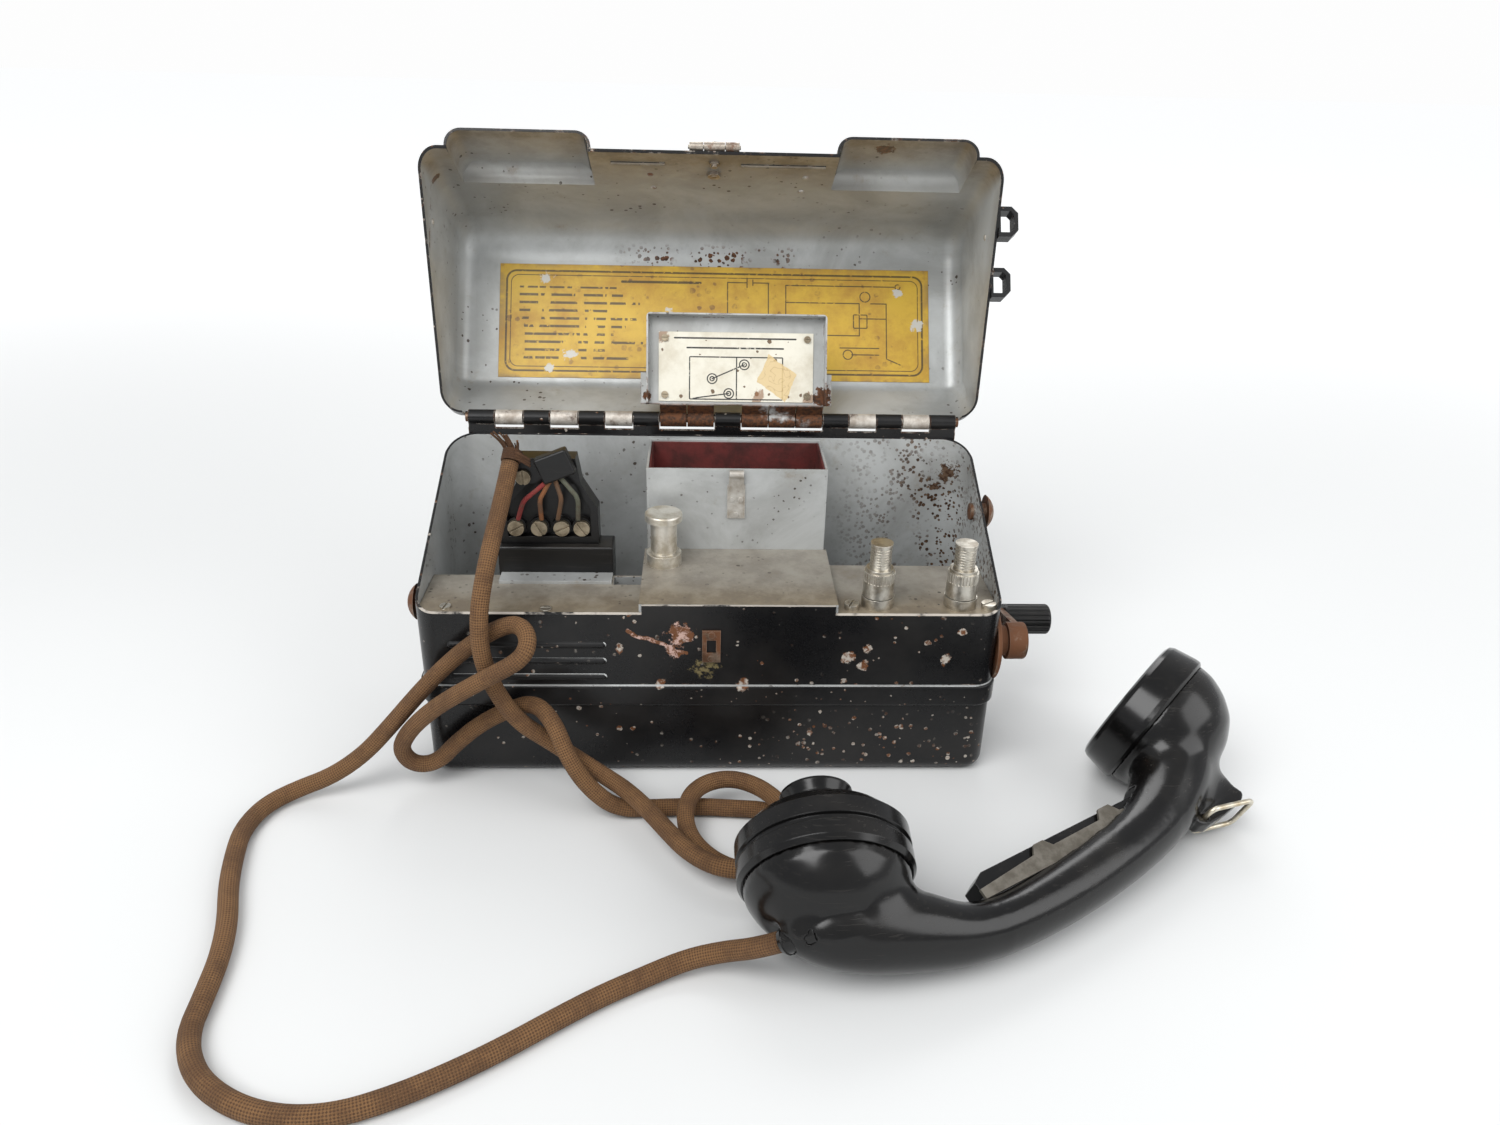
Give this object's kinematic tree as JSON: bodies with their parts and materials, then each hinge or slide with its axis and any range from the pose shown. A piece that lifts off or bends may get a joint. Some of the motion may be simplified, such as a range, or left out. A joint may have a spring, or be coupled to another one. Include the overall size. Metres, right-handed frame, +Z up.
{
  "type": "field telephone",
  "caption": "Portable battery telephone in a hinged sheet-metal case, with a generator crank, plug, line terminals and a corded handset.",
  "frame": {"origin": "centre of the case's flat base", "axes": "+Z up, +X to the crank end, +Y to the lid's hinge"},
  "size_m": [0.4305, 0.3503, 0.2672],
  "materials": {
    "black_paint": "worn gloss black paint",
    "lid_paint": "black outside, aluminium paint inside",
    "silver_paint": "aged aluminium paint",
    "bare_steel": "aged, some rust",
    "plated": "dull nickel plate",
    "brass": "aged",
    "copper_wire": "enamelled or cotton-covered winding",
    "label_yellow": "worn yellow plate",
    "label_white": "worn pale plate",
    "liner_red": "dark red",
    "cell_paper": "paper sleeve",
    "bakelite": "polished black bakelite",
    "fibre": "insulating board",
    "rubber": "matte black",
    "cord_braid": "brown woven braid",
    "wire_braid": "braided leads",
    "magnet": "dark steel"
  },
  "bodies": {
    "case": {"case_shell": "black_paint", "case_hinge_leaf": "black_paint", "hinge_pin": "bare_steel", "strap_studs": "bare_steel", "catch_staple": "bare_steel", "battery_box": "silver_paint", "battery_liner": "liner_red", "battery_cells": "cell_paper", "cover_catch": "bare_steel", "chassis": "silver_paint", "chassis_screws": "plated", "terminal_posts": "plated", "key_bush": "plated", "key_contacts": "brass", "plug_socket": "bakelite", "socket_strip": "fibre", "plug_body": "bakelite", "plug_clamp": "bakelite", "plug_screws": "plated", "plug_pins": "brass", "crank_plate": "bare_steel", "generator_frame": "brass", "magnets": "magnet", "bell_frame": "bare_steel", "bell_gongs": "brass", "bell_coils": "copper_wire", "induction_coil": "copper_wire", "capacitor": "bare_steel", "cord": "cord_braid", "cord_lashing": "wire_braid", "cord_wires": "wire_braid"},
    "lid": {"lid_shell": "lid_paint", "lid_hinge_leaf": "black_paint", "catch_bracket": "bare_steel", "catch_rivets": "bare_steel", "lid_strap_loops": "black_paint", "label_plate": "label_yellow"},
    "battery_lid": {"battery_cover": "silver_paint", "cover_plate": "label_white", "cover_plate_screws": "plated"},
    "tongue": {"catch_tongue": "bare_steel"},
    "crank": {"crank_arm": "bare_steel", "crank_shaft": "bare_steel", "drive_gear": "brass"},
    "knob": {"crank_knob": "bakelite"},
    "rotor": {"armature": "bare_steel", "armature_winding": "copper_wire"},
    "hammer": {"bell_hammer": "brass"},
    "key": {"key_plunger": "bare_steel"},
    "nut_left": {"terminal_nut_left": "plated"},
    "nut_right": {"terminal_nut_right": "plated"},
    "handset": {"handset_body": "bakelite", "mouthpiece_cap": "bakelite", "receiver_cap": "bakelite", "handset_inserts": "plated", "talk_plate": "bare_steel", "cord_grommet": "rubber"},
    "talk_button": {"talk_bar": "bakelite"},
    "bail": {"handset_ring": "plated"},
    "hook": {"strap_hook": "bare_steel"}
  },
  "joints": [
    {"name": "lid_hinge", "type": "hinge", "parent": "case", "child": "lid", "pos_m": [0, 0.0515, 0.1365], "axis": [1, 0, 0], "range_deg": [0, 121], "deforming": ["cord"]},
    {"name": "battery_cover_hinge", "type": "hinge", "parent": "case", "child": "battery_lid", "pos_m": [0, 0.0515, 0.1365], "axis": [1, 0, 0], "range_deg": [0, 113]},
    {"name": "catch_tongue_hinge", "type": "hinge", "parent": "lid", "child": "tongue", "pos_m": [0, 0.05187, 0.26157], "axis": [1, 0, 0], "range_deg": [0, 175]},
    {"name": "crank_turn", "type": "hinge", "parent": "case", "child": "crank", "pos_m": [0, -0.03, 0.06], "axis": [1, 0, 0], "continuous": true},
    {"name": "crank_knob_turn", "type": "hinge", "parent": "crank", "child": "knob", "pos_m": [0, 0.00687, 0.05081], "axis": [1, 0, 0], "continuous": true},
    {"name": "armature_turn", "type": "hinge", "parent": "case", "child": "rotor", "pos_m": [0, -0.0245, 0.04077], "axis": [1, 0, 0], "continuous": true},
    {"name": "bell_hammer_swing", "type": "hinge", "parent": "case", "child": "hammer", "pos_m": [-0.088, -0.0304, 0.05], "axis": [0, 1, 0], "range_deg": [-8, 8], "stiffness_Nm_per_rad": 0.02},
    {"name": "key_press", "type": "slide", "parent": "case", "child": "key", "axis": [0, 0, -1], "range_m": [0, 0.006], "stiffness_N_per_m": 400, "springref_m": -0.003},
    {"name": "left_nut_turn", "type": "hinge", "parent": "case", "child": "nut_left", "pos_m": [0.0727, -0.0384, 0.09], "axis": [0, 0, 1], "range_deg": [-180, 180]},
    {"name": "right_nut_turn", "type": "hinge", "parent": "case", "child": "nut_right", "pos_m": [0.1093, -0.0384, 0.09], "axis": [0, 0, 1], "range_deg": [-180, 180]},
    {"name": "handset_lift", "type": "slide", "parent": "case", "child": "handset", "axis": [0, 0, 1], "range_m": [0, 0.15], "deforming": ["cord"]},
    {"name": "talk_bar_press", "type": "slide", "parent": "handset", "child": "talk_button", "axis": [0.4845, -0.7906, -0.3746], "range_m": [0, 0.0015], "stiffness_N_per_m": 1500, "springref_m": -0.001},
    {"name": "handset_bail_swing", "type": "hinge", "parent": "handset", "child": "bail", "pos_m": [0.20619, -0.1021, 0.01465], "axis": [0.1957, -0.3194, 0.9272], "range_deg": [-100, 5]},
    {"name": "strap_hook_swing", "type": "hinge", "parent": "case", "child": "hook", "pos_m": [-0.1295, -0.021, 0.074], "axis": [1, 0, 0], "range_deg": [-60, 60]}
  ],
  "couplings": [
    {"joint": "battery_cover_hinge", "follows": "lid_hinge", "ratio": 0.93388},
    {"joint": "armature_turn", "follows": "crank_turn", "ratio": -4}
  ]
}
